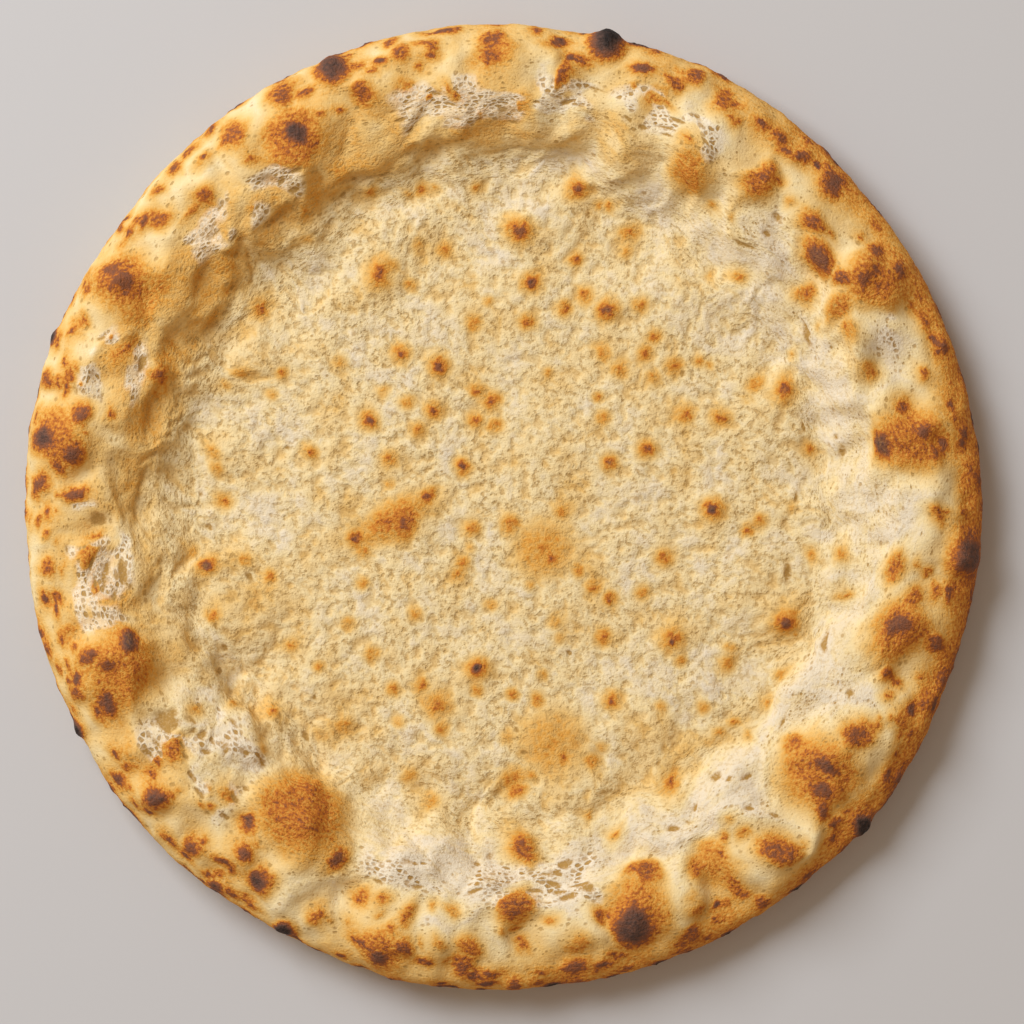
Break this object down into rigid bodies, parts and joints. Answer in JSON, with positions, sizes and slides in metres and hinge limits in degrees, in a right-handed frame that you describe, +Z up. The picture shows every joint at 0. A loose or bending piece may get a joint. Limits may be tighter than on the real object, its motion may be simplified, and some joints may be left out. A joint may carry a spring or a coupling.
{
  "type": "pizza base",
  "caption": "Round bare baked pizza base with a puffed, blistered and charred rim around a thin, flat, crumbly middle that takes sauce and toppings.",
  "frame": {"origin": "middle of the flat underside, on the surface the base lies on", "axes": "+Z up, square to the underside; +X to the right and +Y to the back, as the base lies in the picture seen from above"},
  "size_m": [0.2984, 0.301, 0.0273],
  "materials": {
    "baked_dough": "dry baked wheat crust, cream to golden, with toasted and charred blisters"
  },
  "bodies": {
    "root": {"pizza_base": "baked_dough"}
  },
  "joints": []
}
